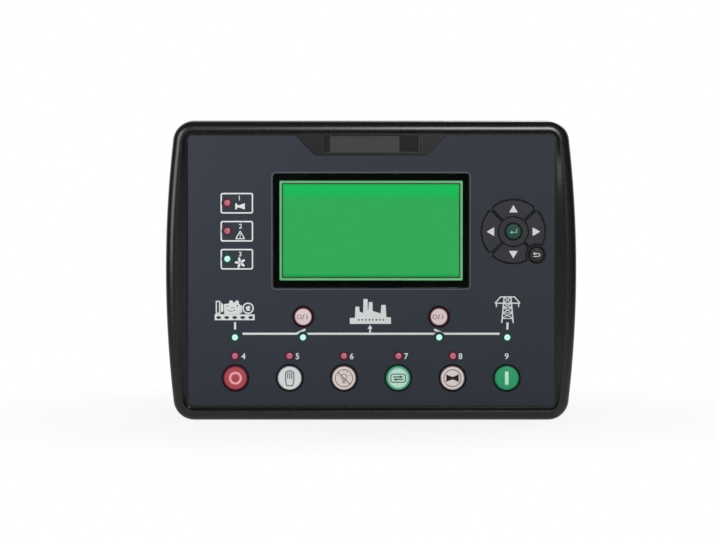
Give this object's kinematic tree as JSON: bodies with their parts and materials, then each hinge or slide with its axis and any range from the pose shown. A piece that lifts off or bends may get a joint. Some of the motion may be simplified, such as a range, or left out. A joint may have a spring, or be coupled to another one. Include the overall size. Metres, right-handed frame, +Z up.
{
  "type": "genset controller",
  "caption": "Panel-mounted generating-set controller with a bowed dark bezel, slate overlay, green display, round keys, direction pad and a stepped rear case with plug terminals.",
  "frame": {"origin": "centre of the panel cut-out, on the face of the panel that the seal lies against", "axes": "+X right along the long side as seen from the front, +Y into the panel, +Z up"},
  "size_m": [0.236, 0.057, 0.172],
  "materials": {
    "bezel_plastic": "fine texture",
    "overlay_film": "matt printed film",
    "bare_plate": "satin",
    "display_window": "gloss",
    "sheet_steel": "satin",
    "display_glass": "polished",
    "diffuser": "frosted",
    "board_laminate": "solder resist",
    "silicone": "matt",
    "connector_plastic": "moulded",
    "housing_plastic": "fine texture",
    "socket_shell": "nickel plated",
    "foam_seal": "foam",
    "light_guide": "clear",
    "key_red": "satin",
    "key_white": "satin",
    "key_pale_green": "satin",
    "key_green": "satin",
    "key_dark": "satin",
    "key_dark_green": "satin",
    "relay_case": "moulded",
    "transformer_case": "moulded",
    "terminal_plastic": "moulded",
    "plug_plastic": "moulded",
    "zinc_plated_steel": "zinc plated"
  },
  "bodies": {
    "controller": {"front_bezel": "bezel_plastic", "overlay": "overlay_film", "nameplate": "bare_plate", "lcd_window": "display_window", "lcd_frame": "sheet_steel", "lcd_glass": "display_glass", "lcd_backlight": "diffuser", "lcd_board": "board_laminate", "keypad_mat": "silicone", "display_board": "board_laminate", "main_board": "board_laminate", "board_link": "connector_plastic", "rear_housing": "housing_plastic", "usb_socket": "socket_shell", "clock_battery": "socket_shell", "panel_gasket": "foam_seal", "status_light_guide": "light_guide", "mimic_light_guide": "light_guide", "mode_light_guide": "light_guide", "relay_1": "relay_case", "relay_2": "relay_case", "current_transformer_1": "transformer_case", "current_transformer_2": "transformer_case", "current_transformer_3": "transformer_case", "mains_terminal_header": "terminal_plastic", "mains_terminal_plug": "plug_plastic", "generator_terminal_header": "terminal_plastic", "generator_terminal_plug": "plug_plastic", "input_terminal_header": "terminal_plastic", "input_terminal_plug": "plug_plastic", "output_terminal_header": "terminal_plastic", "output_terminal_plug": "plug_plastic", "fixing_clip_1": "zinc_plated_steel", "clip_screw_1": "zinc_plated_steel", "case_screw_1": "zinc_plated_steel", "fixing_clip_2": "zinc_plated_steel", "clip_screw_2": "zinc_plated_steel", "case_screw_2": "zinc_plated_steel", "fixing_clip_3": "zinc_plated_steel", "clip_screw_3": "zinc_plated_steel", "case_screw_3": "zinc_plated_steel", "fixing_clip_4": "zinc_plated_steel", "clip_screw_4": "zinc_plated_steel", "case_screw_4": "zinc_plated_steel"},
    "stop": {"stop_key": "key_red"},
    "manual": {"manual_key": "key_white"},
    "test": {"test_key": "key_white"},
    "auto": {"auto_key": "key_pale_green"},
    "mute": {"mute_key": "key_white"},
    "start": {"start_key": "key_green"},
    "generator_breaker": {"generator_breaker_key": "key_white"},
    "mains_breaker": {"mains_breaker_key": "key_white"},
    "up": {"up_key": "key_dark"},
    "down": {"down_key": "key_dark"},
    "left": {"left_key": "key_dark"},
    "right": {"right_key": "key_dark"},
    "enter": {"enter_key": "key_dark_green"},
    "escape": {"escape_key": "key_dark"}
  },
  "joints": [
    {"name": "stop_key_press", "type": "slide", "parent": "controller", "child": "stop", "axis": [0, 1, 0], "range_m": [0, 0.001], "stiffness_N_per_m": 1500},
    {"name": "manual_key_press", "type": "slide", "parent": "controller", "child": "manual", "axis": [0, 1, 0], "range_m": [0, 0.001], "stiffness_N_per_m": 1500},
    {"name": "test_key_press", "type": "slide", "parent": "controller", "child": "test", "axis": [0, 1, 0], "range_m": [0, 0.001], "stiffness_N_per_m": 1500},
    {"name": "auto_key_press", "type": "slide", "parent": "controller", "child": "auto", "axis": [0, 1, 0], "range_m": [0, 0.001], "stiffness_N_per_m": 1500},
    {"name": "mute_key_press", "type": "slide", "parent": "controller", "child": "mute", "axis": [0, 1, 0], "range_m": [0, 0.001], "stiffness_N_per_m": 1500},
    {"name": "start_key_press", "type": "slide", "parent": "controller", "child": "start", "axis": [0, 1, 0], "range_m": [0, 0.001], "stiffness_N_per_m": 1500},
    {"name": "generator_breaker_key_press", "type": "slide", "parent": "controller", "child": "generator_breaker", "axis": [0, 1, 0], "range_m": [0, 0.001], "stiffness_N_per_m": 1500},
    {"name": "mains_breaker_key_press", "type": "slide", "parent": "controller", "child": "mains_breaker", "axis": [0, 1, 0], "range_m": [0, 0.001], "stiffness_N_per_m": 1500},
    {"name": "up_key_press", "type": "slide", "parent": "controller", "child": "up", "axis": [0, 1, 0], "range_m": [0, 0.001], "stiffness_N_per_m": 1500},
    {"name": "down_key_press", "type": "slide", "parent": "controller", "child": "down", "axis": [0, 1, 0], "range_m": [0, 0.001], "stiffness_N_per_m": 1500},
    {"name": "left_key_press", "type": "slide", "parent": "controller", "child": "left", "axis": [0, 1, 0], "range_m": [0, 0.001], "stiffness_N_per_m": 1500},
    {"name": "right_key_press", "type": "slide", "parent": "controller", "child": "right", "axis": [0, 1, 0], "range_m": [0, 0.001], "stiffness_N_per_m": 1500},
    {"name": "enter_key_press", "type": "slide", "parent": "controller", "child": "enter", "axis": [0, 1, 0], "range_m": [0, 0.001], "stiffness_N_per_m": 1500},
    {"name": "escape_key_press", "type": "slide", "parent": "controller", "child": "escape", "axis": [0, 1, 0], "range_m": [0, 0.001], "stiffness_N_per_m": 1500}
  ]
}
